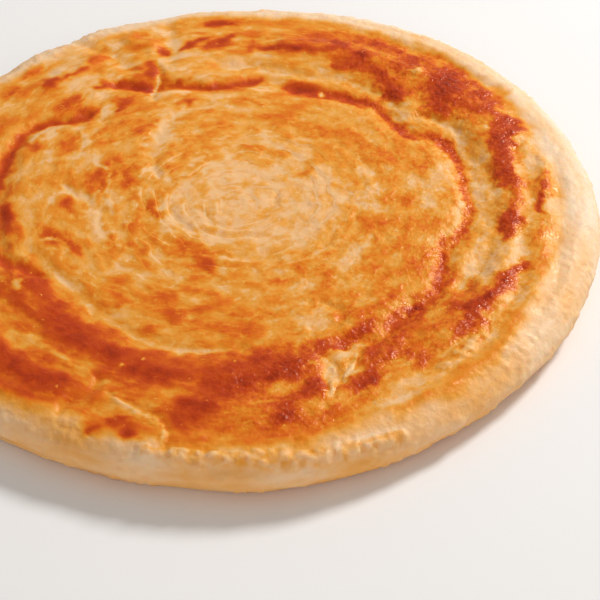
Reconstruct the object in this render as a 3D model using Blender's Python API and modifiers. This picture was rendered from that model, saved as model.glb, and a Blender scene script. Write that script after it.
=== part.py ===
"""A paratha: one round of flatbread, rolled from a coil of layered dough and browned on a griddle.

The bread lies flat on its underside. The origin is on the surface it rests on, under the middle of the
bread, with +Z up. A place on the bread is an angle in degrees, anticlockwise from +X, and a share of the
way from the middle, 0, to the edge, 1.
"""

import math
from typing import NamedTuple

import bmesh
import bpy
import numpy as np

# Driving dimensions, in metres
BREAD_RADIUS = 0.092
BREAD_THICKNESS = 0.012

# The turned form
RIM_SHARE = 0.10  # the rounded edge takes up this share of the radius
MIDDLE_SINK = 0.0006  # the coil's middle lies this much below the outer turn
OUTER_TURN_SHARE = 0.80  # where the outer turn of the coil is thickest
SEGMENTS = 112  # round the bread
TOP_RINGS = 26
RIM_RINGS = 7
UNDERSIDE_RINGS = 9
MERGE_DISTANCE = 0.0001

# How far the hand-rolled edge leaves a circle: waves in a turn, height as a share, angle of a crest
OUTLINE_WAVES = ((2, 0.022, 40), (3, 0.010, -50), (4, 0.008, 15), (5, 0.009, -15))
# The same for the top, which lies a little uneven: waves in a turn, height in metres, angle of a crest
TOP_WAVES = ((1, 0.0003, 60), (2, 0.0004, 150), (3, 0.0003, 20))


class Fold(NamedTuple):
    """A crease, below zero, or a ridge, above zero, that runs along a stretch of a spiral."""

    first_angle: float
    last_angle: float
    first_share: float
    last_share: float
    half_width: float
    height: float
    sway: float = 0.0  # how far it swings to either side, as a share
    sways: float = 0.0  # how many times it does so


TOP_FOLDS = (
    # The crease where the outer turn of the coil leaves the inner ones, and the lip outside it
    Fold(-60, 310, 0.575, 0.585, 0.0030, -0.0013, 0.020, 5),
    Fold(-75, 215, 0.640, 0.640, 0.0022, 0.0005, 0.022, 4),
    Fold(205, 300, 0.665, 0.655, 0.0045, 0.0008, 0.010, 2),
    # The second crease, in the outer turn, and the browned crest beyond it
    Fold(-42, 112, 0.715, 0.680, 0.0032, -0.0013, 0.012, 3),
    Fold(-35, 150, 0.790, 0.800, 0.0060, 0.0008, 0.012, 3),
    Fold(215, 285, 0.800, 0.810, 0.0080, 0.0006),
    # The contour that follows the edge on the right
    Fold(-20, 55, 0.905, 0.915, 0.0022, -0.0006),
    # The turns of the coil in the middle
    Fold(20, 380, 0.100, 0.220, 0.0026, -0.0006),
    Fold(20, 380, 0.220, 0.345, 0.0028, -0.0005),
    Fold(60, 330, 0.380, 0.460, 0.0030, -0.0004),
    # Pleats that cross the outer turn
    Fold(289, 291, 0.640, 0.830, 0.0030, -0.0010),
    Fold(308, 322, 0.700, 0.800, 0.0028, -0.0007),
    Fold(104, 108, 0.660, 0.960, 0.0030, -0.0010),
    Fold(117, 125, 0.680, 0.990, 0.0030, -0.0012),
    Fold(132, 138, 0.700, 1.000, 0.0028, -0.0010),
    Fold(244, 262, 0.850, 0.960, 0.0026, -0.0008),
)
UNDERSIDE_FOLDS = (
    Fold(0, 360, 0.560, 0.700, 0.0055, 0.0011, 0.015, 3),
    Fold(40, 300, 0.300, 0.420, 0.0050, 0.0008),
)
# Where a pleat runs out over the edge, the outline is drawn in: angle, half width in degrees, depth as a share
EDGE_PINCHES = ((107, 5, 0.012), (124, 5, 0.018), (137, 5, 0.016), (262, 6, 0.006), (344, 7, 0.006))
FOLD_STEP = 5  # degrees between the points that a fold's line is measured to


def clear_scene():
    for obj in list(bpy.data.objects):
        bpy.data.objects.remove(obj)


def turned_profile():
    """Points (x, z) from the middle of the top, out round the rim, to the middle of the underside."""
    top = [share * BREAD_RADIUS for share in np.linspace(0, 1 - RIM_SHARE, TOP_RINGS, endpoint=False)]
    points = [(x, BREAD_THICKNESS) for x in top]
    rim_radius = RIM_SHARE * BREAD_RADIUS
    half = BREAD_THICKNESS / 2
    for turn in np.linspace(math.pi / 2, -math.pi / 2, RIM_RINGS + 1):
        points.append((BREAD_RADIUS - rim_radius + rim_radius * math.cos(turn), half + half * math.sin(turn)))
    underside = np.linspace(1 - RIM_SHARE, 0, UNDERSIDE_RINGS + 1)[1:]
    points += [(share * BREAD_RADIUS, 0.0) for share in underside]
    return points


def turned_bread():
    """The bread as a plain turned round, a mesh object made by a Screw modifier."""
    points = turned_profile()
    mesh = bpy.data.meshes.new("profile")
    edges = [(i, i + 1) for i in range(len(points) - 1)]
    mesh.from_pydata([(x, 0, z) for x, z in points], edges, [])
    profile = bpy.data.objects.new("profile", mesh)
    bpy.context.collection.objects.link(profile)
    screw = profile.modifiers.new("turn", "SCREW")
    screw.steps = screw.render_steps = SEGMENTS
    screw.use_merge_vertices = True
    screw.merge_threshold = MERGE_DISTANCE
    graph = bpy.context.evaluated_depsgraph_get()
    bread = bpy.data.objects.new("paratha", bpy.data.meshes.new_from_object(profile.evaluated_get(graph)))
    bpy.data.objects.remove(profile)
    return bread


def polar(angles, shares):
    """Points on the plan of a circular bread, in metres."""
    radians = np.radians(angles)
    reach = np.asarray(shares) * BREAD_RADIUS
    return np.stack([reach * np.cos(radians), reach * np.sin(radians)], axis=-1)


def fold_line(fold):
    """The points of a fold's line, in order."""
    count = 2 + int(abs(fold.last_angle - fold.first_angle) / FOLD_STEP)
    along = np.linspace(0, 1, count)
    angles = fold.first_angle + along * (fold.last_angle - fold.first_angle)
    shares = fold.first_share + along * (fold.last_share - fold.first_share)
    return polar(angles, shares + fold.sway * np.sin(2 * math.pi * fold.sways * along))


def distance_to_line(places, line):
    """For each place: how far it is from the line, and how far along the line, 0 to 1, its nearest point is."""
    nearest = np.full(len(places), np.inf)
    along = np.zeros(len(places))
    for i, (start, end) in enumerate(zip(line[:-1], line[1:])):
        step = end - start
        t = np.clip((places - start) @ step / (step @ step), 0, 1)
        distance = np.linalg.norm(places - start - t[:, None] * step, axis=1)
        closer = distance < nearest
        nearest[closer] = distance[closer]
        along[closer] = (i + t[closer]) / (len(line) - 1)
    return nearest, along


def relief(places, folds):
    """How far the folds raise each place of a circular bread's plan."""
    height = np.zeros(len(places))
    for fold in folds:
        distance, along = distance_to_line(places, fold_line(fold))
        fade = np.clip(8 * np.minimum(along, 1 - along) + 0.4, 0, 1)
        height += fold.height * fade * np.exp(-((distance / fold.half_width) ** 2))
    return height


def waves(angles, rows):
    """The sum of some waves round the bread at angles in radians."""
    return sum(height * np.cos(count * (angles - math.radians(crest))) for count, height, crest in rows)


def outline_share(angles):
    """How far the edge reaches at each angle in radians, against a circular bread's."""
    share = 1 + waves(angles, OUTLINE_WAVES)
    for centre, half_width, depth in EDGE_PINCHES:
        apart = np.degrees(np.angle(np.exp(1j * (angles - math.radians(centre)))))
        share -= depth * np.exp(-((apart / half_width) ** 2))
    return share


def smooth_step(x):
    x = np.clip(x, 0, 1)
    return x * x * (3 - 2 * x)


def shaped(points):
    """Moves the turned round's points to the hand-rolled bread's."""
    angles = np.arctan2(points[:, 1], points[:, 0])
    share = np.hypot(points[:, 0], points[:, 1]) / BREAD_RADIUS
    level = points[:, 2] / BREAD_THICKNESS  # 0 on the underside, 1 on top

    sink = MIDDLE_SINK * smooth_step(np.abs(share - OUTER_TURN_SHARE) / OUTER_TURN_SHARE)
    uneven = waves(angles, TOP_WAVES) * smooth_step(share / 0.4)
    top = relief(points[:, :2], TOP_FOLDS) + uneven - sink
    underside = np.maximum(relief(points[:, :2], UNDERSIDE_FOLDS), 0)
    on_underside = points[:, 2] < MERGE_DISTANCE

    reach = outline_share(angles) ** smooth_step(share)  # the middle keeps its place
    x, y = points[:, 0] * reach, points[:, 1] * reach
    z = points[:, 2] + np.where(on_underside, underside, top * level)
    middle_x, middle_y = (x.max() + x.min()) / 2, (y.max() + y.min()) / 2
    return np.stack([x - middle_x, y - middle_y, z], axis=-1)


def shape_bread(bread):
    mesh = bread.data
    points = np.empty(len(mesh.vertices) * 3)
    mesh.vertices.foreach_get("co", points)
    mesh.vertices.foreach_set("co", shaped(points.reshape(-1, 3)).ravel())
    cage = bmesh.new()
    cage.from_mesh(mesh)
    bmesh.ops.triangulate(cage, faces=cage.faces, quad_method="SHORT_EDGE")
    cage.to_mesh(mesh)
    cage.free()
    mesh.shade_smooth()


def browned_dough():
    material = bpy.data.materials.new("browned_dough")
    material.use_nodes = True
    surface = material.node_tree.nodes["Principled BSDF"]
    surface.inputs["Base Color"].default_value = (0.76, 0.45, 0.17, 1)
    surface.inputs["Roughness"].default_value = 0.45
    surface.inputs["Metallic"].default_value = 0
    return material


def main():
    clear_scene()
    collection = bpy.data.collections.new("paratha flatbread")
    bpy.context.scene.collection.children.link(collection)
    bread = turned_bread()
    shape_bread(bread)
    bread.data.materials.append(browned_dough())
    collection.objects.link(bread)


main()
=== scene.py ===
import math

import bpy
import numpy as np
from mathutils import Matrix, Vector


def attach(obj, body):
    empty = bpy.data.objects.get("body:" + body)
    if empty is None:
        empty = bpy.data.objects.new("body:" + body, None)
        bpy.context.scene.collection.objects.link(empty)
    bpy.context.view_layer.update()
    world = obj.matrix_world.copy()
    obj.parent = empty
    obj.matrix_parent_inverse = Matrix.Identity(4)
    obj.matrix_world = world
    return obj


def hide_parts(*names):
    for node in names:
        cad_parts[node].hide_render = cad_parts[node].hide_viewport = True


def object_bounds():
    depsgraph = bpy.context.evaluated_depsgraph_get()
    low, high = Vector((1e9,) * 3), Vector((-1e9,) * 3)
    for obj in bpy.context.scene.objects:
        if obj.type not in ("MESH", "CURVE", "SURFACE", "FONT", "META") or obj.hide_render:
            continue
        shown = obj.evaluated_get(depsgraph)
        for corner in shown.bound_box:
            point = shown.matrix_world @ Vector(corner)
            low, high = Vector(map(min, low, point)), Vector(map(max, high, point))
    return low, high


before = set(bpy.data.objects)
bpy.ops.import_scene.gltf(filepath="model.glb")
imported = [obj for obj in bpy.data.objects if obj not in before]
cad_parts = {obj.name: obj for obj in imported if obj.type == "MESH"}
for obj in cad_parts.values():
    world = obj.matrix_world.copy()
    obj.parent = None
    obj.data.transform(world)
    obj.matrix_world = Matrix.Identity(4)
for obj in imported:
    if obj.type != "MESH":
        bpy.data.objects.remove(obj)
cadLow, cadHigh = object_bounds()

# A place on the bread is an angle in degrees, anticlockwise from +X, and a share of the way from the
# middle, 0, to the edge, 1. Sizes are in metres, and those of marks, folds and crumbs in millimetres. A
# noise is given by its size and, last, its seed.

handRolled = {
    "outlineWaves": [(2, 0.022, 40), (3, 0.01, -50), (4, 0.008, 15), (5, 0.009, -15)],  # count, rise, crest
    "edgePinches": [(107, 5, 0.012), (124, 5, 0.018), (137, 5, 0.016), (262, 6, 0.006), (344, 7, 0.006)],
    "topWaves": [(1, 0.0003, 60), (2, 0.0004, 150), (3, 0.0003, 20)],
    "wavesFade": 0.4,  # the top's waves run out towards the middle
    "sway": [(0.0009, 0.007), (0.0006, 0.0026), (0.00015, 0.0012)],  # of the marks' edges: amount, size
    "rimShare": 0.1,  # the rounded edge, as a share of the radius
    "restThickness": 0.865,  # of the frame's height, before anything rises from the top
    "middleSink": 0.0004,
    "outerTurnShare": 0.8,  # where the outer turn is thickest
    "lumpRise": 0.0005,  # the lumps of dough in torn places, and what they take from the browning
    "lumpNoise": (0.0018, 71),
    "lumpPaling": (0.6, 0.28),
    "roomAbove": 0.0001,  # free under the frame's top, and how softly the dough meets it
    "roomSoftness": 0.00012,
    # painted shade and warm bounce light on the side, by the angle: browner towards the bottom, most at the
    # front
    "paintedFlankBrowning": [(0, 0.22), (90, 0.28), (180, 0.36), (270, 0.42), (320, 0.38), (345, 0.28)],
    "paintedFlankDepth": 0.95,
    "undersideMottled": 0.12,
    "topSpacing": 0.00064,  # between the mesh's points
    "rimSpacing": 0.00074,
    "undersideSpacing": 0.0017,
}


def fade(x, start, length):
    # 0 up to the start, 1 from a length further on, and smooth between them
    x = np.clip((x - start) / length, 0, 1)
    return x * x * (3 - 2 * x)


def ripple(angles, rows):
    return sum(height * np.cos(count * (angles - math.radians(crest))) for count, height, crest in rows)


def outlineShare(angles):
    share = 1 + ripple(angles, handRolled["outlineWaves"])
    for centre, halfWidth, depth in handRolled["edgePinches"]:
        apart = np.degrees(np.angle(np.exp(1j * (angles - math.radians(centre)))))
        share -= depth * np.exp(-((apart / halfWidth) ** 2))
    return share


def outlinePlan():
    # the middle and the width of the outline of a bread of radius 1
    angles = np.radians(np.arange(0, 360, 0.25))
    reach = outlineShare(angles)
    x, y = reach * np.cos(angles), reach * np.sin(angles)
    return (x.max() + x.min()) / 2, (y.max() + y.min()) / 2, x.max() - x.min()


middleX, middleY, planWidth = outlinePlan()
radius = (cadHigh.x - cadLow.x) / float(planWidth)
thickness = handRolled["restThickness"] * (cadHigh.z - cadLow.z)


def softNoise(points, cell, seed):
    # smooth noise from -1 to 1, with features about one cell across
    size = 32
    lattice = np.random.default_rng(seed).uniform(-1, 1, (size, size, size))
    grid = points / cell
    low = np.floor(grid).astype(int)
    t = grid - low
    t = t * t * (3 - 2 * t)
    total = np.zeros(len(points))
    for corner in np.ndindex(2, 2, 2):
        index = (low + corner) % size
        total += lattice[tuple(index.T)] * np.prod(np.where(corner, t, 1 - t), axis=1)
    return total


def mixedNoise(points, rows):
    return sum(amount * softNoise(points, cell, seed) for amount, cell, seed in rows)


def coilNoise(places, around, across, seed):
    # noise that runs along the coil: features in a turn, and their size across the coil
    angles = np.arctan2(places[:, 1], places[:, 0])
    reach = np.hypot(places[:, 0], places[:, 1])
    turn = around / (2 * math.pi)
    turned = np.stack([np.cos(angles) * turn, np.sin(angles) * turn, reach / across], axis=1)
    return softNoise(turned, 1, seed)


def byAngle(angles, rows):
    turns, values = zip(*rows)
    return np.interp(angles, turns, values, period=360)


# How brown the top is before its marks: by the angle, for the outer turn, for the inner ones and for the rim
plainBrowning = {
    "outer": [(0, 0.3), (15, 0.33), (30, 0.44), (60, 0.48), (85, 0.44), (105, 0.37), (125, 0.32),
              (150, 0.35), (200, 0.49), (218, 0.51), (240, 0.6), (283, 0.54), (297, 0.37), (320, 0.37),
              (345, 0.31)],
    "inner": [(0, 0.44), (45, 0.42), (90, 0.44), (135, 0.46), (180, 0.44), (225, 0.46), (270, 0.46),
              (315, 0.43)],
    # the rim is paler on the right and back, where the key light falls, and browner at the front: partly the
    # dough's own colour, partly painted light and shade
    "rim": [(0, 0.07), (90, 0.06), (150, 0.14), (220, 0.19), (270, 0.17), (310, 0.19), (335, 0.12)],
    "rimStart": [(0, 0.868), (45, 0.872), (75, 0.885), (300, 0.885), (345, 0.876)],
    "rimFade": 0.045,
    "rimStray": [(0.008, 0.008, 15), (0.006, 0.003, 16)],  # how far the start strays
    "rimPatches": (34, 0.004, 57),
    "rimPatchiness": 0.9,
    "outerStart": (0.6, 0.05),  # where the outer turn's browning takes over, and over what share
    "middle": (0.07, -0.01),  # the coil's pale middle, as shares of the radius
    "middleEnd": (0.12, 0.17),
    "middleBrowning": 0.28,
}

# What the griddle left on the top. Each group has how brown its marks are, from pale dough, 0, to the
# darkest, 1, how sharp their edges are, and the marks, each a half width and a run of (angle, share).
topMarks = {
    "broad brown": (0.64, 1.8, [
        (7.2, [(200, .7), (212, .7), (220, .72), (228, .77), (236, .78), (244, .76), (252, .76), (260, .79),
            (268, .8), (276, .79), (284, .77), (290, .74)]),
        (4.8, [(263, .89), (272, .87), (280, .885), (287, .86)]), (4, [(228, .86), (234, .875), (240, .85)]),
        (7.2, [(66, .77), (58, .78), (50, .78), (42, .8), (34, .82), (27, .82)]),
        (4.2, [(46, .88), (54, .875), (62, .865), (70, .855), (77, .85)]),
        (3.8, [(91, .76), (86, .765), (82, .74)]), (4.2, [(-27, .715), (-34, .72), (-42, .73), (-49, .72)]),
        (5, [(158, .78), (168, .8), (178, .77), (188, .79), (196, .76)]), (3, [(31, .79), (36, .74)]),
        (3.2, [(135, .655), (140, .65), (146, .64)]), (3, [(22, .8), (10, .772), (-2, .762), (-12, .76)]),
        (4, [(90, .745), (80, .755), (70, .765), (60, .78)]),
        (4.6, [(-62, .76), (-56, .715), (-48, .67), (-40, .655)]), (3.2, [(112, .69), (118, .72)])]),
    "orange": (0.58, 1.8, [
        (4.6, [(-46, .79), (-51, .79), (-56, .77)]), (4.6, [(-54, .6), (-44, .575), (-34, .56), (-22, .555)]),
        (5, [(246, .47), (258, .5), (270, .495), (282, .47)]), (3.2, [(107, .78), (110, .82), (112, .79)]),
        (3.8, [(146, .76), (141, .77), (137, .74)]), (2.2, [(258, .91), (253, .88), (249, .91)]),
        (3, [(104, .868), (98, .868), (90, .88)]), (2.2, [(117.5, .8), (120, .785), (124, .745)]),
        (1.6, [(247.5, .87), (247.5, .79)]), (2.2, [(287.5, .875), (291, .87)]),
        (1.8, [(-14, .86), (-18, .865)]), (2.2, [(155, .6), (162, .58)]), (2.6, [(168, .54), (173, .54)]),
        (2.4, [(133, .83), (137, .83)]), (2.4, [(141, .82), (145, .82)]), (3.4, [(149, .76), (156, .74)]),
        (3, [(132, .48), (138, .48)]), (4.6, [(236, .21), (246, .235), (254, .25)]),
        (2.4, [(198, .26), (206, .26)]), (2.2, [(36, .235), (33, .25)]), (3, [(150, .36), (156, .34)]),
        (2.8, [(118, .3), (108, .31)]), (2.6, [(176, .6), (171, .6)])]),
    "golden": (0.5, 1.8, [
        (5.6, [(-60, .55), (-48, .51), (-36, .47), (-22, .46)]),
        (5.4, [(20, .49), (35, .46), (50, .43), (65, .4), (80, .37), (95, .36)]),
        (3.4, [(215, .735), (221, .735), (227, .745)]), (1.8, [(228, .602), (233, .596)]),
        (1.7, [(281, .735), (287, .73)]), (1.8, [(257, .775), (262, .765)]), (2.2, [(245, .84), (245, .79)]),
        (1.9, [(-14, .668), (-22, .666), (-30, .675)]), (2.8, [(-4, .845), (-12, .85), (-20, .865)]),
        (2.4, [(-32, .885), (-40, .9), (-46, .914), (-52, .908), (-62, .895)]),
        (2.2, [(104, .885), (96, .89), (84, .885), (72, .888)]), (2, [(262, .93), (268, .925)]),
        (4, [(-60, .81), (-66, .83)])]),
    "soft gold": (0.4, 1.6, [
        (1.3, [(227, .741), (234, .735), (239, .737), (243, .752)]),
        (4, [(100, .72), (90, .71), (80, .698), (70, .702)]), (3.4, [(140, .72), (150, .7)]),
        (3, [(150, .62), (160, .6), (170, .575), (180, .565)]), (3, [(110, .765), (118, .76)]),
        (1.6, [(240, .765), (246, .77)]), (1.4, [(249, .812), (253, .83), (257, .85), (260, .885)])]),
    "ring": (0.8, 2.2, [
        (2.2, [(199, .645), (203, .625), (206, .6), (211, .59), (217, .605)]),
        (5, [(215, .606), (224, .628), (231, .643), (238, .653), (246, .661)]),
        (4.4, [(250, .65), (255, .658), (260, .67), (266, .678), (272, .675)]),
        (4.4, [(271, .665), (278, .648), (285, .655), (290, .645)]),
        (2, [(289, .625), (295, .632), (301, .622), (308, .612)]),
        (2.9, [(-65, .79), (-61, .75), (-57, .715), (-52, .685), (-46, .658), (-40, .642), (-35, .645)]),
        (2.4, [(16, .655), (20, .672), (25, .668), (29, .65)]),
        (1.7, [(30, .59), (36, .592), (42, .602), (48, .61), (55, .602), (63, .594)]),
        (2.6, [(63, .582), (68, .572), (74, .578)]), (1.9, [(56, .598), (60, .598)]),
        (1.5, [(84, .59), (90, .575), (96, .562), (102, .568), (107, .584), (111, .597)]),
        (2.4, [(104, .602), (112, .61), (118, .618)]), (1.9, [(118, .63), (123, .655), (127, .68)]),
        (2.4, [(133, .572), (137, .574), (141, .588)]),
        (1.5, [(141, .592), (145, .63), (149, .66), (154, .67), (160, .666), (172, .65)]),
        (2.2, [(182, .607), (191, .606)]), (1.8, [(129, .538), (125, .552), (122, .565)])]),
    "right of the ring": (0.76, 2, [
        (2.2, [(-36, .648), (-31, .655), (-27, .635), (-23, .616), (-19, .606), (-15, .607)]),
        (2, [(-16, .606), (-12, .629), (-8, .645), (-4, .656), (0, .656), (6, .648), (12, .648), (16, .656)]),
        (1, [(-3, .64), (3, .632), (9, .632)])]),
    "red brown": (0.84, 2, [
        (4, [(227, .805), (233, .825), (240, .815)]), (3, [(252, .705), (258, .715)]),
        (3.4, [(266, .72), (274, .715), (281, .695)]), (2.6, [(263, .785), (269, .79)]),
        (2.2, [(286, .775), (289, .755)]), (2.8, [(279, .87), (281, .82)]), (2.2, [(262, .84), (266, .83)]),
        (1.8, [(-62, .8), (-65, .775)]), (4.8, [(37, .74), (39, .79), (42, .84), (45, .875)]),
        (3.6, [(31, .865), (35, .865)]), (3.6, [(21, .835), (26, .85)]),
        (3.4, [(20, .8), (12, .775), (6, .765)]), (2.8, [(-5, .762), (-12, .756)]),
        (2.4, [(-19, .822), (-23, .798), (-28, .796)]),
        (3.2, [(-28, .784), (-33, .776), (-38, .784), (-41, .8)]), (3, [(46, .68), (49, .705), (53, .728)]),
        (2.2, [(54, .745), (60, .75), (66, .715)]), (2.2, [(61, .79), (64, .755)]),
        (2, [(66, .8), (69, .83)]), (1.5, [(84, .752), (78, .762), (72, .766), (68, .785)]),
        (1.6, [(91.5, .81), (94, .775), (97, .745)]), (1.4, [(97, .79), (100, .765), (103, .742)]),
        (2.2, [(56, .872), (62, .872)]), (1.8, [(51, .845), (53, .87)]), (1.3, [(96, .872), (91, .878)]),
        (1.8, [(111, .71), (113, .66)]), (1.6, [(105.5, .74), (107, .765)]), (1.8, [(133, .77), (136, .768)]),
        (1.4, [(8, .882), (4, .862), (0, .845), (-3, .832)]), (1.8, [(252, .88), (254, .868)]),
        (1.4, [(249.5, .93), (250.5, .91)]), (1.6, [(256, .91), (257, .9)])]),
    "russet": (0.7, 2, [
        (1.7, [(131, .762), (126, .768), (122, .785), (119, .82), (118, .85)]), (1.9, [(71, .85), (76, .84)]),
        (1.7, [(104, .49), (109, .478)]), (2.4, [(122, .432), (128, .42)]), (2.2, [(148, .528), (153, .528)]),
        (3, [(161, .388), (168, .378)]), (2.2, [(156, .318), (165, .3)]), (2.4, [(182, .222), (192, .215)]),
        (2, [(193, .495), (199, .5)]), (2, [(153, .622), (157, .61)]), (1.8, [(200, .458), (208, .44)]),
        (1.8, [(254, .258), (260, .256)]), (1.6, [(177, .442), (184, .432)]), (2, [(86, .79), (87, .74)]),
        (2.2, [(-51, .8), (-53, .76)])]),
    "dark hearts": (0.89, 1.7, [
        (2.8, [(229, .636), (236, .652), (240, .66), (244, .667)]), (1.9, [(282, .665), (287, .67)]),
        (1.6, [(259, .7), (263, .695)]), (1.6, [(272, .708), (276, .705)]),
        (1.4, [(279.5, .86), (280.5, .83)]), (1.6, [(264, .8), (267, .79)]),
        (3, [(39, .785), (40, .815), (43, .855)]), (1.5, [(32, .87), (34, .865)]),
        (1.8, [(22, .83), (25, .845)]), (1.6, [(14, .782), (9, .77)]), (1.4, [(-8, .76), (-11, .758)]),
        (1.3, [(-30, .78), (-36, .776)]), (1.5, [(47, .69), (49, .705)]),
        (1, [(83, .753), (78, .762), (73, .765)]), (2, [(114, .603), (117, .605)]),
        (1.2, [(66, .57), (70, .57)]), (1, [(-20, .6), (-25, .618)]), (1.1, [(-38, .64), (-43, .645)]),
        (1, [(62, .77), (63, .79)]), (1.2, [(134, .771), (135.5, .768)]), (1.6, [(231, .828), (236, .835)])]),
    "tan grooves": (0.31, 2.2, [
        (1.1, [(200, .55), (211, .54), (221, .534), (231, .543), (239, .56), (246, .577), (254, .59),
            (263, .596), (270, .584)]),
        (1.2, [(171, .47), (176, .4), (183, .372), (186, .325)]), (0.9, [(50, .37), (58, .334), (63, .28)]),
        (2.4, [(291, .52), (297, .535), (300, .5)]), (1.7, [(253, .4), (258, .405)]),
        (1.6, [(266, .236), (282, .241), (302, .234), (318, .24)]),
        (0.9, [(292.6, .66), (292.5, .7), (291.5, .76)]), (2.2, [(318, .395), (328, .385), (338, .39)]),
        (2, [(0, .395), (12, .385), (24, .395)])]),
    "pale dough": (0.27, 2.6, [
        (1.8, [(93, .662), (85, .658), (78, .652), (72, .65), (68, .662), (62, .665), (56, .664), (52, .66)]),
        (1.1, [(46, .65), (40, .64), (36, .633)]),
        (1.5, [(34, .69), (29, .706), (24, .705), (17, .692), (11, .686), (4, .69), (-6, .7), (-14, .698),
            (-22, .698), (-29, .7)]),
        (2, [(15, .6), (9, .56), (0, .556), (-7, .566)]),
        (0.9, [(21, .65), (17, .632), (12, .612), (5, .612), (-2, .622), (-7, .622), (-12, .596)]),
        (2.8, [(102.5, .63), (105.5, .648), (107, .685)]), (1.9, [(104, .787), (105, .835), (107, .885)]),
        (2, [(126, .787), (126.5, .83)]), (1.4, [(117, .848), (118, .885)]),
        (1.1, [(113, .555), (109, .54), (104.5, .533)]), (1.9, [(128, .62), (129.5, .575), (132.5, .535)]),
        (1.8, [(150, .625), (154, .63)]), (1.7, [(-12, .79), (-17, .785)]), (1.3, [(2, .808), (-6, .808)]),
        (1.6, [(-44, .845), (-50, .852)]),
        (2.2, [(100, .468), (106, .451), (113, .417), (121, .389), (129, .352), (139, .303), (150, .246)]),
        (1.7, [(151, .622), (146, .598), (143, .545)]), (1.5, [(161, .56), (157, .5), (151, .46)]),
        (1.4, [(193, .382), (200, .357), (211, .334)]), (1.2, [(85, .548), (78, .553)]),
        (1, [(75, .346), (72, .3)]), (3, [(90, .186), (104, .153), (122, .12), (150, .125)]),
        (3.4, [(184, .11), (202, .118), (222, .112)]), (2, [(80, .151), (62, .18)]),
        (3.4, [(29, .283), (15, .26), (0, .25), (-15, .235)]),
        (2.2, [(188, .175), (205, .178), (220, .172), (245, .15), (270, .142), (290, .147), (320, .194),
            (340, .245)]),
        (1.8, [(117, .78), (116.5, .74), (114, .715)]), (2, [(124, .715), (129, .72), (133, .71)]),
        (1.8, [(120, .88), (128, .87)]), (1.2, [(211, .642), (213, .648)]),
        (2, [(297, .88), (303, .87), (309, .865)]), (1, [(234.5, .738), (238, .735)])]),
    "cream edges": (0.23, 2.5, [
        (1, [(292.6, .655), (292.5, .7), (291.5, .75), (290, .8)]),
        (0.8, [(299, .685), (296, .715), (293.5, .755)]), (0.6, [(111, .665), (112.3, .6), (115, .552)]),
        (0.7, [(104, .548), (109, .547), (114, .545)]), (0.8, [(44, .648), (38, .637)]),
        (0.9, [(32, .7), (29, .712)]), (1, [(48.2, .8), (47.5, .825)]), (0.8, [(249, .693), (248.8, .698)]),
        (0.4, [(250, .812), (252, .822), (256, .834), (259, .86), (261, .895), (261, .93)]),
        (0.9, [(259.5, .94), (264, .95), (270, .956), (276, .964), (285, .97), (296, .972)]),
        (0.6, [(194, .38), (203, .352), (213, .33)]), (0.6, [(170, .48), (175, .41), (182, .38)]),
        (0.9, [(-42.5, .835), (-45, .85)]), (0.7, [(65, .572), (65.5, .585)]),
        (0.6, [(171, .38), (179, .39), (185, .383)]), (0.6, [(176, .348), (182, .333), (186, .315)]),
        (0.6, [(179, .275), (190, .265), (195, .285)]), (0.6, [(163, .265), (175, .255)]),
        (0.6, [(179, .492), (175, .478), (174, .46)]), (0.6, [(197, .512), (199, .482)]),
        (0.6, [(143, .527), (148, .487), (153, .497)]), (0.6, [(151, .438), (156, .41), (157, .375)]),
        (0.6, [(159, .36), (165, .348), (171, .348)]), (1.4, [(134, .345), (128, .345), (122, .345)]),
        (1, [(153, .285), (144, .247), (151, .193)]), (1.4, [(171, .158), (193, .13)])]),
}

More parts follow.
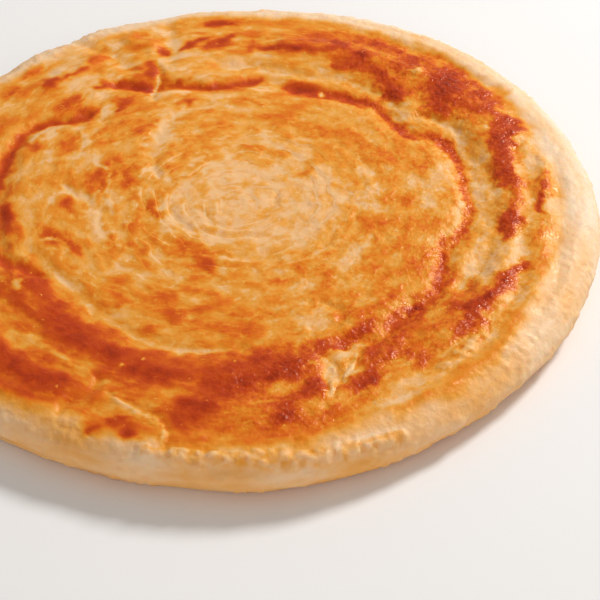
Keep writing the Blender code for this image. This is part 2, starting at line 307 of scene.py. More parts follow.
# The folds of the coil: how far each rises or sinks, its half width and its run
topFolds = [
    (-1.5, 3.4, [(-62, .64), (-50, .655), (-40, .64), (-34, .65), (-29, .65), (-24, .62), (-18, .606),
        (-13, .622), (-8, .644), (-3, .656), (4, .65), (12, .65), (20, .668), (26, .655), (32, .605),
        (38, .596), (48, .606), (58, .598), (68, .575), (76, .58), (85, .59), (92, .568), (98, .555),
        (105, .572), (112, .6), (118, .62), (122, .645)]),
    (-1.3, 2.75, [(136, .578), (140, .59), (145, .632), (151, .665), (160, .668), (172, .65), (185, .64),
        (195, .655), (203, .62), (210, .578)]),
    (0.7, 5.5, [(206, .615), (217, .63), (228, .665), (240, .67), (252, .675), (264, .69), (276, .68),
        (290, .655)]),
    (-0.7, 2.6, [(200, .56), (211, .54), (221, .534), (231, .543), (239, .56), (246, .576), (254, .592),
        (264, .598), (273, .575)]),
    (-1.4, 3.8, [(36, .67), (30, .706), (20, .7), (11, .7), (0, .708), (-10, .712), (-20, .708),
        (-30, .705)]),
    (-1.12, 3, [(95, .662), (85, .655), (76, .646), (66, .662), (54, .664), (45, .65)]),
    (1.2, 6.5, [(78, .78), (62, .79), (48, .8), (34, .82), (22, .81), (10, .78), (-2, .772), (-12, .765),
        (-22, .785), (-34, .785), (-44, .77)]),
    (-0.64, 2.25, [(16, .84), (6, .82), (-4, .808), (-13, .8), (-20, .825), (-30, .84)]),
    (0.64, 3, [(10, .885), (2, .862), (-8, .85), (-20, .868), (-32, .885), (-44, .91), (-56, .905)]),
    (-0.6, 2.6, [(60, .915), (44, .918), (28, .91), (12, .918), (-4, .905), (-18, .915), (-34, .93)]),
    (0.8, 6, [(214, .8), (228, .82), (240, .82), (254, .79), (268, .79), (280, .83), (288, .79)]),
    (-1, 1.7, [(292.6, .65), (292.5, .7), (291.5, .75), (290, .8)]),
    (-0.7, 1.4, [(300, .68), (296, .715), (293, .76)]),
    (-0.6, 1.75, [(110, .69), (112, .6), (115, .545)]),
    (-0.3, 2.8, [(128, .62), (129, .6), (132, .56), (136, .51)]),
    (-0.6, 2.6, [(106, .7), (105, .79), (104, .9)]),
    (-0.8, 2.8, [(116, .7), (118, .78), (122, .88)]),
    (0.96, 2.75, [(109, .79), (112, .84)]),
    (0.8, 3, [(136, .77), (128, .77), (120, .8)]),
    (-0.5, 1.1, [(248.5, .8), (252, .818), (256, .83), (259.5, .86), (261.5, .895), (262, .935)]),
    (0.8, 1.25, [(259, .946), (264, .955), (270, .962), (276, .97), (285, .975), (296, .978)]),
    (-0.8, 1.75, [(246, .76), (245, .82), (244, .9)]),
    (-0.5, 2.25, [(100, .468), (106, .451), (113, .417), (121, .389), (129, .352), (139, .303),
        (150, .246)]),
    (-0.45, 1.75, [(171, .47), (176, .4), (183, .372), (186, .325)]),
    (-0.42, 1.5, [(188, .162), (205, .164), (220, .158), (245, .138), (270, .13), (290, .136), (320, .18),
        (340, .228)]),
    (-0.36, 1.25, [(205, .085), (230, .098), (260, .095), (300, .09), (340, .105), (20, .13)]),
    (-0.36, 1.5, [(262, .222), (282, .228), (302, .222), (318, .228)]),
    (-0.64, 1.5, [(294, .56), (302, .56), (304, .52), (302, .47)]),
]


def alongPath(path, step=3):
    # the path's points in plan, close together
    points = []
    for (angle0, share0), (angle1, share1) in zip(path[:-1], path[1:]):
        if angle1 < angle0 - 180:
            angle1 += 360
        count = max(1, math.ceil(abs(angle1 - angle0) / step))
        for t in np.arange(count) / count:
            points.append((angle0 + t * (angle1 - angle0), share0 + t * (share1 - share0)))
    points.append(path[-1])
    angles, shares = np.radians([p[0] for p in points]), np.array([p[1] for p in points])
    return radius * np.stack([shares * np.cos(angles), shares * np.sin(angles)], axis=1)


def farFromPath(plan, path, halfWidth):
    # how many half widths each place is from the path, which is thinner towards its ends; 9 where far away
    halfWidth = halfWidth / 1000
    line = alongPath(path)
    apart = np.full(len(plan), 9.0)
    reach = 3 * halfWidth
    for i, (start, end) in enumerate(zip(line[:-1], line[1:])):
        along = end - start
        near = np.flatnonzero(np.all(np.abs(plan - (start + end) / 2) < reach + np.abs(along) / 2, axis=1))
        t = np.clip((plan[near] - start) @ along / (along @ along), 0, 1)
        distance = np.linalg.norm(plan[near] - start - t[:, None] * along, axis=1)
        width = halfWidth * (0.65 + 0.35 * np.sin(math.pi * (i + t) / (len(line) - 1)))
        apart[near] = np.minimum(apart[near], distance / width)
    return apart


def swayed(places):
    # the places in plan, moved a little, so that no mark has a ruled edge
    rows = handRolled["sway"]
    sway = [mixedNoise(places, [(*row, seed + i) for i, row in enumerate(rows)]) for seed in (11, 14)]
    return places[:, :2] + np.stack(sway, axis=1)


# How the marks' edges and the browning between them vary. Each noise is an amount, a size and a seed.
unevenBrowning = {
    "sandyTowards": -12,  # the angle of the side that the griddle left sandy
    "sandyFade": (0.02, 0.35),
    "cloudAlong": (30, 0.0055, 53),  # clouds along the coil
    "cloudNoise": [(0.7, 0.0042, 54)],
    "cloud": 0.05,
    "sandyCloud": 0.03,  # and this much more on the sandy side
    "wideEdge": [(0.3, 0.0036, 41)],
    "fineEdge": (0.0015, 42),
    "fine": 0.15,
    "sandyFine": 0.25,
    "tornEdge": [(0.8, 0.0017, 43)],  # for the pale marks, where the skin is torn
    "leastTorn": 0.25,
    "tornBelow": 0.3,
    "crustNoise": [(1.0, 0.0042, 51), (0.6, 0.0019, 52)],
    "crust": 0.07,
    "crustFade": (0.45, 0.2),
    "mottled": 0.15,
    "sandyMottled": 0.05,
    "calmBrown": (0.6, 0.2),
}


def topBrowning(places, share):
    # how brown the top is, how mottled and how sandy; share is 1 right at the edge
    plain, uneven = plainBrowning, unevenBrowning
    plan = swayed(places)
    angles = np.degrees(np.arctan2(places[:, 1], places[:, 0]))
    inside = np.hypot(plan[:, 0], plan[:, 1]) / radius
    outer = fade(inside, *plain["outerStart"])
    rimShare = share + mixedNoise(places, plain["rimStray"]) - byAngle(angles, plain["rimStart"])
    rim = fade(rimShare, 0, plain["rimFade"])
    fromMiddle = np.linalg.norm(plan / radius - plain["middle"], axis=1)
    middle = 1 - fade(fromMiddle, *plain["middleEnd"])

    browned = byAngle(angles, plain["inner"]) * (1 - outer) + byAngle(angles, plain["outer"]) * outer
    browned = browned * (1 - middle) + plain["middleBrowning"] * middle
    patches = plain["rimPatchiness"] * coilNoise(places, *plain["rimPatches"])
    # the rim's browning by angle carries painted light and shade, paler where the key light falls
    browned = browned * (1 - rim) + byAngle(angles, plain["rim"]) * (1 + patches) * rim
    rightward = np.cos(np.radians(angles - uneven["sandyTowards"])) * inside
    sandy = fade(rightward, *uneven["sandyFade"]) * (1 - 0.9 * rim)
    cloudy = coilNoise(places, *uneven["cloudAlong"]) + mixedNoise(places, uneven["cloudNoise"])
    browned += (uneven["cloud"] + uneven["sandyCloud"] * sandy) * cloudy * (1 - 0.8 * rim)

    loose = 1 + mixedNoise(places, uneven["wideEdge"])
    loose += (uneven["fine"] + uneven["sandyFine"] * sandy) * softNoise(places, *uneven["fineEdge"])
    torn = np.maximum(loose + mixedNoise(places, uneven["tornEdge"]), uneven["leastTorn"])
    for browning, sharpness, marks in topMarks.values():
        width = torn if browning < uneven["tornBelow"] else loose
        for halfWidth, path in marks:
            cover = 0.5 ** ((farFromPath(plan, path, halfWidth) / width) ** sharpness)
            browned += (browning - browned) * cover

    crust = fade(browned, *uneven["crustFade"])
    browned += uneven["crust"] * mixedNoise(places, uneven["crustNoise"]) * crust
    mottled = (uneven["mottled"] - uneven["sandyMottled"] * fade(rightward, -0.05, 0.3)) * (1 - 0.9 * rim)
    mottled *= (1 - 0.35 * middle) * (1 - 0.65 * fade(browned, *uneven["calmBrown"]))
    return np.clip(browned, 0, 1), mottled, sandy


def foldRise(places):
    plan = swayed(places)
    rise = np.zeros(len(places))
    for height, halfWidth, path in topFolds:
        rise += height / 1000 * np.exp(-farFromPath(plan, path, halfWidth) ** 2)
    return rise


# Where crumbs of dough cling to torn edges and folds: how thick they lie, a half width and a run
crumbRuns = [
    (0.72, 1.1, [(249, .808), (252, .822), (256, .834), (259, .86), (261, .895), (261, .93)]),
    (1, 2.2, [(259, .945), (264, .952), (270, .958), (276, .966), (285, .972), (296, .974)]),
    (0.58, 2.2, [(226, .742), (234, .735), (241, .745), (246, .765)]),
    (0.9, 0.8, [(292.6, .655), (292.5, .7), (291.5, .75), (290, .8)]),
    (0.8, 0.7, [(299, .685), (296, .715), (293.5, .755)]),
    (0.5, 2.2, [(240, .575), (248, .59), (256, .602), (264, .606)]),
    (0.8, 2.6, [(-40, .84), (-46, .85), (-50, .852)]),
    (0.8, 2, [(49, .8), (48, .83)]),
    (0.7, 2.6, [(12, .885), (8, .875), (2, .862)]),
    (0.6, 3.6, [(-62, .76), (-52, .69), (-40, .645), (-26, .64), (-14, .61), (0, .66), (16, .66)]),
    (0.6, 3.4, [(52, .65), (40, .65), (30, .69), (10, .69), (-12, .7), (-28, .7)]),
    (0.4, 6, [(-55, .78), (-40, .78), (-25, .8), (-5, .78)]),
]


def crumbsAt(places, sandy):
    plan = swayed(places)
    crumbs = 0.1 + 0.3 * sandy * fade(softNoise(places, 0.006, 61), -0.5, 1)
    for amount, halfWidth, path in crumbRuns:
        crumbs = np.maximum(crumbs, amount * 0.5 ** (farFromPath(plan, path, halfWidth) ** 3))
    return crumbs


underside = {
    "bands": [(0, 0.34), (0.2, 0.36), (0.35, 0.46), (0.6, 0.52), (0.8, 0.5), (0.9, 0.3), (0.97, 0.1),
              (1.02, 0.06)],
    "blotches": 0.34,
    "alongCoil": (26, 0.0075, 31),
    "between": [(0.5, 0.004, 32)],
    "paleEdge": (0.88, 0.06),
}


def undersideBrowned(places, share):
    # the underside is browned in blotches along the coil, and pale near the edge
    blotches = coilNoise(places, *underside["alongCoil"]) + mixedNoise(places, underside["between"])
    band = np.interp(share, *zip(*underside["bands"]))
    return np.clip(band + underside["blotches"] * blotches * (1 - fade(share, *underside["paleEdge"])), 0, 1)


def turnedRings():
    # rings from the middle of the top, round the rim, to the middle of the underside
    rimStart = 1 - handRolled["rimShare"]
    count = round(rimStart * radius / handRolled["topSpacing"])
    rings = [(rimStart * i / count, 1.0, handRolled["topSpacing"]) for i in range(count)]
    rimReach = handRolled["rimShare"] * radius
    length = math.pi * math.sqrt((rimReach ** 2 + (thickness / 2) ** 2) / 2)
    count = round(length / handRolled["rimSpacing"])
    for turn in np.linspace(0, math.pi, count + 1):
        share = rimStart + handRolled["rimShare"] * math.sin(turn)
        rings.append((share, 0.5 + 0.5 * math.cos(turn), handRolled["rimSpacing"]))
    spacing = handRolled["undersideSpacing"]
    count = round(rimStart * radius / spacing)
    return rings + [(rimStart * (1 - i / count), 0.0, spacing) for i in range(1, count + 1)]


def stitchRings(first, second):
    # triangles between two rings of point numbers that have different counts
    triangles = []
    i = j = 0
    m, n = len(first), len(second)
    while i < m or j < n:
        if j == n or (i < m and (i + 1) / m <= (j + 1) / n):
            if m > 1:
                triangles.append((first[i % m], second[j % n], first[(i + 1) % m]))
            i += 1
        else:
            if n > 1:
                triangles.append((first[i % m], second[j % n], second[(j + 1) % n]))
            j += 1
    return triangles


def roundDough():
    # the round before its marks: places on a circle, levels, how far each is along the surface, and triangles
    plan, heights, profile, rings = [], [], [], []
    lastShare, lastHeight, along = 0.0, 1.0, 0.0
    for share, height, spacing in turnedRings():
        along += math.hypot(radius * (share - lastShare), thickness * (height - lastHeight))
        lastShare, lastHeight = share, height
        count = 1 if share < 1e-6 else max(8, round(2 * math.pi * radius * share / spacing))
        rings.append(list(range(len(plan), len(plan) + count)))
        for k in range(count):
            angle = 2 * math.pi * k / count
            plan.append((share * math.cos(angle), share * math.sin(angle)))
            heights.append(height)
            profile.append(along)
    triangles = []
    for first, second in zip(rings[:-1], rings[1:]):
        triangles += stitchRings(first, second)
    return np.array(plan), np.array(heights), np.array(profile), triangles


def shapeDough():
    plan, height, profile, triangles = roundDough()
    angles = np.arctan2(plan[:, 1], plan[:, 0])
    share = np.hypot(plan[:, 0], plan[:, 1])
    reach = outlineShare(angles) ** fade(share, 0, 1)
    x = radius * (plan[:, 0] * reach - middleX)
    y = radius * (plan[:, 1] * reach - middleY)
    places = np.stack([x, y, np.zeros(len(x))], axis=1)
    browned, mottled, sandy = topBrowning(places, share)

    outerTurn = handRolled["outerTurnShare"]
    sink = handRolled["middleSink"] * fade(np.abs(share - outerTurn), 0, outerTurn)
    uneven = ripple(angles, handRolled["topWaves"]) * fade(share, 0, handRolled["wavesFade"])
    crumbly = crumbsAt(places, sandy)
    lumps = fade(softNoise(places, *handRolled["lumpNoise"]), -1, 2) * fade(crumbly, 0.45, 0.4)
    paling, least = handRolled["lumpPaling"]
    browned -= paling * lumps * np.maximum(browned - least, 0)
    z = thickness * height + (foldRise(places) + uneven - sink + handRolled["lumpRise"] * lumps) * height
    room, soft = cadHigh.z - handRolled["roomAbove"], handRolled["roomSoftness"]
    places[:, 2] = room - soft * np.logaddexp(0, (room - z) / soft)  # nothing rises out of the frame's box

    below = fade(0.5 - height, 0, 0.3)
    # painted shade and warm bounce light: the side browns towards its bottom, most at the front, away from
    # the key light
    paintedFlank = byAngle(np.degrees(angles), handRolled["paintedFlankBrowning"])
    paintedFlank *= fade(1 - height, 0, handRolled["paintedFlankDepth"])
    under = undersideBrowned(places, share)
    browned = np.maximum(browned, paintedFlank) * (1 - below) + np.maximum(under, paintedFlank) * below
    attributes = {
        "browning": browned,
        "mottled": mottled * (1 - below) + handRolled["undersideMottled"] * below,
        "sandy": sandy,
        "share": share,
        "above": 1 - below,
        "onRim": fade(share, 0.86, 0.07),
        "profile": profile,
        "crumbs": crumbly * (1 - below) * fade(height, 0.55, 0.15),
    }
    mesh = bpy.data.meshes.new("dough")
    mesh.from_pydata(places.tolist(), [], [tuple(t) for t in triangles])
    for name, values in attributes.items():
        mesh.attributes.new(name, "FLOAT", "POINT").data.foreach_set("value", values.astype(np.float32))
    mesh.shade_smooth()
    piece = bpy.data.objects.new("dough", mesh)
    bpy.context.collection.objects.link(piece)
    return piece


# Node helpers


class Value:
    # a node's output, to calculate with
    def __init__(self, socket):
        self.socket = socket
        self.tree = socket.id_data

    def __add__(self, other):
        return calc("ADD", self, other)

    def __sub__(self, other):
        return calc("SUBTRACT", self, other)

    def __rsub__(self, other):
        return calc("SUBTRACT", other, self)

    def __mul__(self, other):
        return calc("MULTIPLY", self, other)

    def __truediv__(self, other):
        return calc("DIVIDE", self, other)


def feed(socket, value):
    if isinstance(value, Value):
        value.tree.links.new(value.socket, socket)
    else:
        socket.default_value = value


def addNode(tree, kind, given=None, out=0, **settings):
    # given: a socket's name or number, and what goes into it
    made = tree.nodes.new(kind)
    for name, value in settings.items():
        setattr(made, name, value)
    for socket, value in (given or {}).items():
        feed(made.inputs[socket], value)
    return Value(made.outputs[out])


def attributesAt(tree, *names):
    # named attributes, in a tree of either kind
    if tree.bl_idname == "ShaderNodeTree":
        return [addNode(tree, "ShaderNodeAttribute", out="Fac", attribute_name=name) for name in names]
    kind = "GeometryNodeInputNamedAttribute"
    return [addNode(tree, kind, {"Name": name}, data_type="FLOAT") for name in names]


def calc(operation, *values):
    tree = next(value.tree for value in values if isinstance(value, Value))
    return addNode(tree, "ShaderNodeMath", dict(enumerate(values)), operation=operation)


def vectorCalc(operation, place, *others, out=0):
    given = dict(enumerate((place, *others)))
    return addNode(place.tree, "ShaderNodeVectorMath", given, out, operation=operation)


def lengthOf(place):
    return vectorCalc("LENGTH", place, out="Value")


def flatten(place):
    return vectorCalc("MULTIPLY", place, (1.0, 1.0, 0.0))


def asVector(tree, x=0.0, y=0.0, z=0.0):
    return addNode(tree, "ShaderNodeCombineXYZ", {0: x, 1: y, 2: z})


def between(value, low, high, toLow=0.0, toHigh=1.0):
    # a smooth change from toLow to toHigh as value goes from low to high
    given = {"Value": value, "From Min": low, "From Max": high, "To Min": toLow, "To Max": toHigh}
    return addNode(value.tree, "ShaderNodeMapRange", given, interpolation_type="SMOOTHSTEP")


def noiseAt(place, scale, detail=2.0, roughness=0.5, seed=0.0, out=0):
    given = {"Vector": place, "W": seed, "Scale": scale, "Detail": detail, "Roughness": roughness}
    return addNode(place.tree, "ShaderNodeTexNoise", given, out, noise_dimensions="4D")


def swayedAt(place, scale, amount, seed=0.0):
    # the place, moved about by as much as the amount
    shift = vectorCalc("SUBTRACT", noiseAt(place, scale, seed=seed, out="Color"), (0.5, 0.5, 0.5))
    return vectorCalc("ADD", place, vectorCalc("MULTIPLY", shift, (2 * amount, 2 * amount, 0.0)))


# Patterns that both the surface and its colour follow. A noise is a scale, detail, roughness and a seed,
# a sway is a scale, an amount and a seed, and a turn is features in a turn of the coil and their size across.

coil = {
    "middle": (0.0028, 0.0008, 0.0),
    "innerTurn": 0.025,  # within this reach the noise stops following the coil
    "warp": (85, 2, 0.5, 21.0),
    "warpTurns": 2.6,
    "patches": (120, 1, 0.5, 22.0),
    "skinSways": [(110, 0.0022, 2.0), (420, 0.0006, 3.0)],
    "skinTurn": (60, 0.0038),
    "skin": (1.0, 3, 0.55, 1.0),
    "clodSway": (260, 0.001, 31.0),
    "clods": (430, 1.5, 0.5, 32.0),
}


def turnAt(place, loose, around, across):
    # coilNoise's places, in nodes, swayed as the loose place is; across follows the surface round the rim
    flat = flatten(loose)
    reach = lengthOf(flat)
    stretched = calc("DIVIDE", around / (2 * math.pi), reach + coil["innerTurn"])
    onCircle = addNode(place.tree, "ShaderNodeVectorMath", {0: flat, "Scale": stretched}, operation="SCALE")
    profile, = attributesAt(place.tree, "profile")
    along = profile + (reach - lengthOf(flatten(place)))
    return vectorCalc("ADD", onCircle, asVector(place.tree, z=along / across))


def layersAt(place, pitch):
    # how far across a layer of the coil the place is, 0 at its step, and how clearly the step shows
    apart = flatten(vectorCalc("SUBTRACT", place, coil["middle"]))
    x, y = (addNode(place.tree, "ShaderNodeSeparateXYZ", {0: apart}, axis) for axis in (0, 1))
    turns = lengthOf(apart) / pitch - calc("ARCTAN2", y, x) / (2 * math.pi)
    warp = noiseAt(apart, *coil["warp"]) - 0.5
    phase = calc("FRACT", warp * coil["warpTurns"] + turns)
    return phase, between(noiseAt(apart, *coil["patches"]), 0.42, 0.58)


def skinAt(place):
    # below 0 where the browned skin is torn away, above 0 where it is whole: ragged strips along the coil
    loose = place
    for sway in coil["skinSways"]:
        loose = swayedAt(loose, *sway)
    return between(noiseAt(turnAt(place, loose, *coil["skinTurn"]), *coil["skin"]), 0.35, 0.64, -0.8, 0.65)


def clodsAt(place):
    # 1 on the clods of dough along the torn edges, and how torn the place is
    crumbs, = attributesAt(place.tree, "crumbs")
    torn = between(crumbs, 0.45, 0.85)
    return torn * between(noiseAt(swayedAt(place, *coil["clodSway"]), *coil["clods"]), 0.36, 0.62), torn


# Geometry nodes


def geometryTree(name, sizes):
    tree = bpy.data.node_groups.new(name, "GeometryNodeTree")
    tree.interface.new_socket("Geometry", in_out="INPUT", socket_type="NodeSocketGeometry")
    kinds = {float: "NodeSocketFloat", int: "NodeSocketInt"}
    for label, value in sizes.items():
        kind = kinds.get(type(value), "NodeSocketMaterial")
        tree.interface.new_socket(label, in_out="INPUT", socket_type=kind)
    tree.interface.new_socket("Geometry", in_out="OUTPUT", socket_type="NodeSocketGeometry")
    return tree, {socket.name: Value(socket) for socket in tree.nodes.new("NodeGroupInput").outputs}


def storeAttribute(tree, geometry, name, value):
    given = {"Geometry": geometry, "Name": name, "Value": value}
    return addNode(tree, "GeometryNodeStoreNamedAttribute", given, data_type="FLOAT", domain="POINT")


def finishTree(tree, geometry, material):
    realized = addNode(tree, "GeometryNodeRealizeInstances", {"Geometry": geometry})
    painted = addNode(tree, "GeometryNodeSetMaterial", {"Geometry": realized, "Material": material})
    feed(tree.nodes.new("NodeGroupOutput").inputs[0], painted)


def runTree(piece, tree, sizes, name):
    # the tree's result as a new plain mesh object
    modifier = piece.modifiers.new(tree.name, "NODES")
    modifier.node_group = tree
    sockets = {s.name: s.identifier for s in tree.interface.items_tree if s.in_out == "INPUT"}
    for label, value in sizes.items():
        modifier[sockets[label]] = value
    graph = bpy.context.evaluated_depsgraph_get()
    mesh = bpy.data.meshes.new_from_object(piece.evaluated_get(graph), preserve_all_data_layers=True,
                                           depsgraph=graph)
    piece.modifiers.remove(modifier)
    made = bpy.data.objects.new(name, mesh)
    bpy.context.collection.objects.link(made)
    return made


# The coil's layers, the torn skin, the blisters and the rim's wrinkles

surfaceRelief = {
    "Coil Pitch": 0.0038,
    "Layer Step": 0.00036,
    "Skin Height": 0.0009,
    "Sand Scale": 370.0,
    "Sand Height": 0.001,
    "Crease Waves": 7.0,
    "Crease Scale": 330.0,
    "Crease Height": 0.0014,
    "Bubble Scale": 520.0,
    "Bubble Height": 0.00042,
    "Grain Scale": 420.0,
    "Grain Height": 0.00026,
    "Clod Height": 0.00055,
    "Blister Start": 0.6,
    "Blister Spacing": 0.0035,
    "Blister Density": 26000.0,
    "Blister Radius": 0.0026,
    "Blister Height": 0.00022,
    "Seed": 7,
}


def blistersAt(tree, given, share, above):
    # low domes scattered on the outer turn and the rim, each of its own size
    seed = given["Seed"]
    wanted = calc("GREATER_THAN", share, given["Blister Start"]) * calc("GREATER_THAN", above, 0.6)
    scattered = addNode(tree, "GeometryNodeDistributePointsOnFaces", {
        "Mesh": given["Geometry"], "Distance Min": given["Blister Spacing"],
        "Density Max": given["Blister Density"], "Density Factor": wanted, "Seed": seed},
        distribute_method="POISSON")
    size = addNode(tree, "FunctionNodeRandomValue", {2: 0.45, 3: 1.0, "Seed": seed}, 1, data_type="FLOAT")
    sized = storeAttribute(tree, scattered, "size", size)
    distance = addNode(tree, "GeometryNodeProximity", {0: sized}, "Distance", target_element="POINTS")
    index = addNode(tree, "GeometryNodeSampleNearest", {"Geometry": sized}, domain="POINT")
    own, = attributesAt(tree, "size")
    sampled = addNode(tree, "GeometryNodeSampleIndex", {"Geometry": sized, "Value": own, "Index": index},
                      data_type="FLOAT", domain="POINT")
    dome = between(distance / (sampled * given["Blister Radius"]), 0.0, 1.0, 1.0, 0.0)
    return dome * sampled * given["Blister Height"]


def reliefTree(sizes):
    tree, given = geometryTree("layersAndBlisters", sizes)
    place = addNode(tree, "GeometryNodeInputPosition")
    share, above, mottled, sandy, onRim, profile = attributesAt(
        tree, "share", "above", "mottled", "sandy", "onRim", "profile")
    seed = given["Seed"]

    # the coil steps down at each turn of a spiral, and the step shows here and there
    phase, patchy = layersAt(place, given["Coil Pitch"])
    shown = patchy * between(share, 0.2, 0.6, 1.0, 0.25) * ((1.0 - onRim) * above)
    total = between(phase, 0.0, 0.25) * (1.0 - phase) * shown * given["Layer Step"]

    # the browned skin stands above the dough where it has torn, and the griddle left it sandy in places
    total += skinAt(place) * mottled * given["Skin Height"]
    sand = noiseAt(place, given["Sand Scale"], 2, 0.6, seed + 8.0) - 0.5
    total += sand * sandy * given["Sand Height"]

    # creases that follow the rim, and its small bubbles
    waves = asVector(tree, given["Crease Waves"], given["Crease Waves"])
    around = vectorCalc("MULTIPLY", vectorCalc("NORMALIZE", flatten(place)), waves)
    turned = vectorCalc("ADD", around, asVector(tree, z=profile * given["Crease Scale"]))
    crease = (noiseAt(turned, 1.0, 3, 0.55, seed) - 0.5) * onRim
    total += crease * given["Crease Height"]
    bubbles = addNode(tree, "ShaderNodeTexVoronoi", {
        "Vector": place, "Scale": given["Bubble Scale"], "Smoothness": 0.4}, "Distance", feature="SMOOTH_F1")
    bubbly = onRim * between(noiseAt(place, 110, 1, 0.5, 6.0), 0.4, 0.6)
    total += between(bubbles, 0.15, 0.75, 1.0, 0.0) * bubbly * given["Bubble Height"]

    # fine unevenness everywhere, clods along the torn edges, and blisters
    total += (noiseAt(place, given["Grain Scale"], 3, 0.6, seed + 5.0) - 0.5) * given["Grain Height"]
    total += clodsAt(place)[0] * given["Clod Height"]
    total += blistersAt(tree, given, share, above)

    normal = addNode(tree, "GeometryNodeInputNormal")
    offset = vectorCalc("MULTIPLY", normal, asVector(tree, total, total, total))
    shaped = addNode(tree, "GeometryNodeSetPosition", {"Geometry": given["Geometry"], "Offset": offset})
    finishTree(tree, storeAttribute(tree, shaped, "crease", crease), given["Dough"])
    return tree


# Materials

doughColours = [(0.0, (0.86, 0.68, 0.5)), (0.12, (0.86, 0.58, 0.34)), (0.27, (0.84, 0.455, 0.165)),
                (0.38, (0.81, 0.365, 0.056)), (0.5, (0.78, 0.265, 0.019)), (0.62, (0.72, 0.155, 0.009)),
                (0.74, (0.58, 0.078, 0.007)), (0.84, (0.48, 0.048, 0.006)), (1.0, (0.26, 0.018, 0.005))]

# The crust's noises, and what each part does to the browning, the roughness and the bump
crust = {
    "sand": (900, 1, 0.5),
    "cloud": (330, 3, 0.6, 4.0),
    "looseSway": (260, 0.001, 5.0),
    "blotchTurn": (72, 0.0042),
    "blotch": (1.0, 1.5, 0.5, 7.0),
    "paintedGlintSway": (600, 0.0006, 17.0),
    "paintedGlint": (620, 2, 0.6, 18.0),
    "speckTurn": (130, 0.0022),
    "speck": (1.0, 2, 0.6, 15.0),
    "rimGrain": (460, 2, 0.5, 23.0),
    "greasy": (260, 2, 0.6, 10.0),
    "sandBrowning": (0.1, 0.22),  # everywhere, and as much more where it is sandy
    "cloudBrowning": 0.13,
    "blotchBrowning": (0.15, 0.05),  # on golden and on dark skin
    # painted shade at the foot of each coil step, and a painted highlight along its lip
    "footShadeBrowning": 0.16,
    "lipHighlightPaling": 0.13,
    # painted shade down in the rim's creases and painted light on their crests
    "creaseShadeAndLight": 0.35,
    "speckPaling": 0.11,
    "clodPaling": (0.5, 0.2),  # of what is browner than the second
    # painted shade in the gaps between the clods of torn dough
    "clodGapShade": 0.12,
    # pale flecks that paint the oil's glints
    "paintedGlintPaling": (0.55, 0.24),
    "leastBrowning": 0.2,  # off the rim
    "roughness": (0.46, 0.34),  # of pale and of browned dough
    "sandySmooth": 0.05,
    "greasySmooth": 0.08,
    "sandBump": (0.26, 0.62),
    "cloudBump": 0.5,
    "rimBump": 0.9,
    "paintedGlintBump": 0.15,
    "skinBump": 0.8,
    "clodBump": 0.12,
}


def doughRamp(browned):
    colour = addNode(browned.tree, "ShaderNodeValToRGB", {"Fac": browned}, "Color")
    stops = colour.socket.node.color_ramp.elements
    while len(stops) < len(doughColours):
        stops.new(0.5)
    for stop, (position, shade) in zip(stops, doughColours):
        stop.position = position
        stop.color = (*shade, 1)
    return colour


def paledBy(browned, cover, amount, least):
    # what is browner than the least is drawn towards it under the cover
    return browned - cover * calc("MAXIMUM", browned - least, 0.0) * amount


def emptyMaterial(name):
    material = bpy.data.materials.new(name)
    material.use_nodes = True
    tree = material.node_tree
    place = addNode(tree, "ShaderNodeTexCoord", out="Object")
    return material, tree, tree.nodes["Principled BSDF"].inputs, place


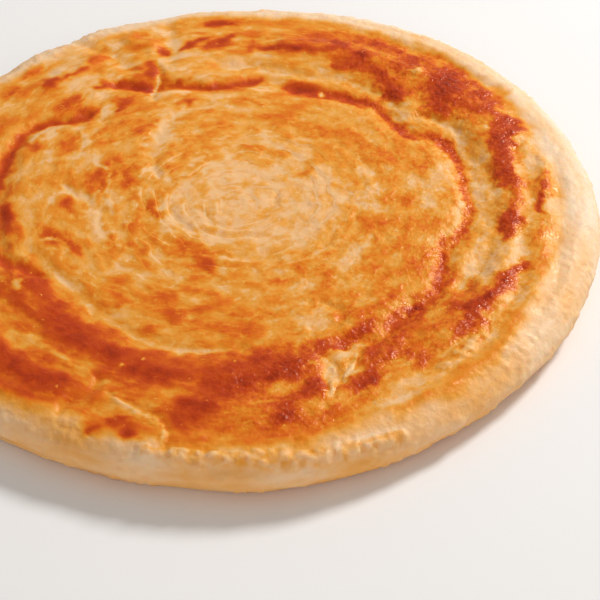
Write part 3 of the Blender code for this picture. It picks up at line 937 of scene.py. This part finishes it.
def brownedDough(name):
    material, tree, surface, place = emptyMaterial(name)
    browning, mottled, sandy, share, onRim, crease = attributesAt(
        tree, "browning", "mottled", "sandy", "share", "onRim", "crease")
    notRim = (1.0 - onRim) * 0.8 + 0.2

    # the coil's layers: painted shade browns the foot of each step, and a painted highlight pales its lip
    phase, patchyLayer = layersAt(place, surfaceRelief["Coil Pitch"])
    inward = patchyLayer * between(share, 0.25, 0.38, 1.0, 0.15)
    footShade = between(phase, 0.0, 0.06, 1.0, 0.0) * inward
    lipHighlight = between(phase, 0.03, 0.1) * between(phase, 0.12, 0.3, 1.0, 0.0) * inward

    # torn skin, sandy grains, clouds, blotches along the coil, pale specks, clods, and pale flecks that are
    # painted glints of the oil
    skin = skinAt(place) * mottled
    sand = noiseAt(place, *crust["sand"]) - 0.5
    cloud = noiseAt(place, *crust["cloud"]) - 0.5
    loose = swayedAt(place, *crust["looseSway"])
    blotch = noiseAt(turnAt(place, loose, *crust["blotchTurn"]), *crust["blotch"])
    blotch = between(blotch, 0.3, 0.7, -0.5, 0.5) * between(browning, 0.5, 0.72, *crust["blotchBrowning"])
    speck = noiseAt(turnAt(place, loose, *crust["speckTurn"]), *crust["speck"])
    speck = between(speck, 0.56, 0.66) * notRim * between(browning, 0.55, 0.8, 1.0, 0.35)
    clods, torn = clodsAt(place)
    paintedGlint = noiseAt(swayedAt(place, *crust["paintedGlintSway"]), *crust["paintedGlint"])
    paintedGlint = between(paintedGlint, 0.66, 0.74) * notRim

    sandBrowning, sandBump = (sandy * crust[key][1] + crust[key][0] for key in ("sandBrowning", "sandBump"))
    grained = (sand * sandBrowning + (cloud * crust["cloudBrowning"] + blotch)) * notRim
    browned = browning + (skin + grained) + footShade * crust["footShadeBrowning"] - lipHighlight * crust["lipHighlightPaling"]
    # painted shade down in the rim's creases and painted light on their crests; the specks are paler dough
    browned -= crease * crust["creaseShadeAndLight"] + speck * crust["speckPaling"]
    browned = paledBy(browned, clods, *crust["clodPaling"])
    # painted shade: browner in the gaps between the clods
    browned += (torn - clods) * crust["clodGapShade"]
    # painted glints: the pale flecks pull the browning down
    browned = paledBy(browned, paintedGlint, *crust["paintedGlintPaling"])
    browned = calc("MAXIMUM", browned, between(onRim, 0.0, 0.7, crust["leastBrowning"], 0.0))
    feed(surface["Base Color"], doughRamp(browned))

    rough = between(browned, 0.1, 0.7, *crust["roughness"]) - sandy * crust["sandySmooth"]
    greasy = crust["greasySmooth"]
    rough -= between(noiseAt(place, *crust["greasy"]), 0.5, 0.66, -greasy, greasy)
    feed(surface["Roughness"], rough)
    surface["Specular IOR Level"].default_value = 0.21
    surface["Specular Tint"].default_value = (1.0, 0.78, 0.55, 1)
    surface["Subsurface Weight"].default_value = 0.4
    surface["Subsurface Radius"].default_value = (1.0, 0.45, 0.2)
    surface["Subsurface Scale"].default_value = 0.0025

    crusty = between(browning, 0.35, 0.7, 0.35, 1.0)
    height = (sand * sandBump * crusty + cloud * crust["cloudBump"]) * notRim
    height += noiseAt(place, *crust["rimGrain"]) * onRim * crust["rimBump"]
    height += paintedGlint * crust["paintedGlintBump"] + skin * crust["skinBump"] + clods * crust["clodBump"]
    bump = {"Height": height, "Strength": 0.8, "Distance": 0.0007}
    feed(surface["Normal"], addNode(tree, "ShaderNodeBump", bump))
    return material


def plainFloor():
    material, tree, surface, place = emptyMaterial("paleTable")
    shade = {"Factor": noiseAt(place, 6, 2, 0.5), "A": (0.85, 0.86, 0.88, 1), "B": (0.89, 0.9, 0.92, 1)}
    feed(surface["Base Color"], addNode(tree, "ShaderNodeMix", shade, "Result", data_type="RGBA"))
    surface["Roughness"].default_value = 0.7
    return material


# The bread


def keepInside(piece, low, high, margin=0.00002):
    # the finished surface stays inside the frame's box
    mesh = piece.data
    places = np.empty(len(mesh.vertices) * 3)
    mesh.vertices.foreach_get("co", places)
    places = places.reshape(-1, 3)
    places = np.clip(places, np.array(low) + [margin, margin, 0], np.array(high) - margin)
    mesh.vertices.foreach_set("co", places.ravel())
    mesh.update()


roundPiece = shapeDough()
print("rolled the bread", len(roundPiece.data.vertices))
sizes = {**surfaceRelief, "Dough": brownedDough("brownedDough")}
bread = runTree(roundPiece, reliefTree(sizes), sizes, "bread")
bpy.data.objects.remove(roundPiece)
keepInside(bread, cadLow, cadHigh)
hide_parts("paratha")
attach(bread, "root")
print("layered the bread", len(bread.data.polygons))

# The table, the lights and the camera

studio = {
    "tableSize": 6.0,
    "tableLevel": -0.0001,
    "key": {"azimuth": 42, "elevation": 38, "distance": 1.2, "size": 0.28, "power": 12.6,
            "colour": (1.0, 0.97, 0.93)},
    "fill": {"azimuth": 270, "elevation": 34, "distance": 1.4, "size": 1.2, "power": 5.6,
             "colour": (1.0, 0.91, 0.81)},
    "roomColour": (1.0, 0.96, 0.91, 1),
    "roomLight": 0.32,
    "target": (0.189, -0.2566, 0),  # the camera's target and distance, as shares of the radius
    "distance": 5.5,
    "elevation": 41.5,
    "lens": 123.4,
}


def layTable():
    half, level = studio["tableSize"] / 2, studio["tableLevel"]
    mesh = bpy.data.meshes.new("table")
    corners = [(-half, -half, level), (half, -half, level), (half, half, level), (-half, half, level)]
    mesh.from_pydata(corners, [], [(0, 1, 2, 3)])
    mesh.materials.append(plainFloor())
    table = bpy.data.objects.new("table", mesh)
    bpy.context.collection.objects.link(table)


def lookAt(piece, location, target):
    piece.location = location
    piece.rotation_euler = (target - location).to_track_quat("-Z", "Y").to_euler()
    bpy.context.collection.objects.link(piece)


def hangLight(name, azimuth, elevation, distance, size, power, colour):
    # an area light that faces the middle of the bread
    light = bpy.data.lights.new(name, "AREA")
    light.shape = "DISK"
    light.size = size
    light.energy = power
    light.color = colour
    turn, rise = math.radians(azimuth), math.radians(elevation)
    away = Vector((math.cos(turn) * math.cos(rise), math.sin(turn) * math.cos(rise), math.sin(rise)))
    lookAt(bpy.data.objects.new(name, light), distance * away, Vector((0, 0, 0)))


def setRoom(scene):
    world = bpy.data.worlds.new("studio")
    world.use_nodes = True
    glow = world.node_tree.nodes["Background"].inputs
    glow["Color"].default_value = studio["roomColour"]
    glow["Strength"].default_value = studio["roomLight"]
    scene.world = world
    scene.view_settings.view_transform = "Standard"


layTable()
for name in ("key", "fill"):
    hangLight(name, **studio[name])
setRoom(bpy.context.scene)
lens = bpy.data.cameras.new("camera")
lens.lens = studio["lens"]
camera = bpy.data.objects.new("camera", lens)
target = radius * Vector(studio["target"])
rise = math.radians(studio["elevation"])
lookAt(camera, target + studio["distance"] * radius * Vector((0, -math.cos(rise), math.sin(rise))), target)
bpy.context.scene.camera = camera
print("set the table, the lights and the camera")
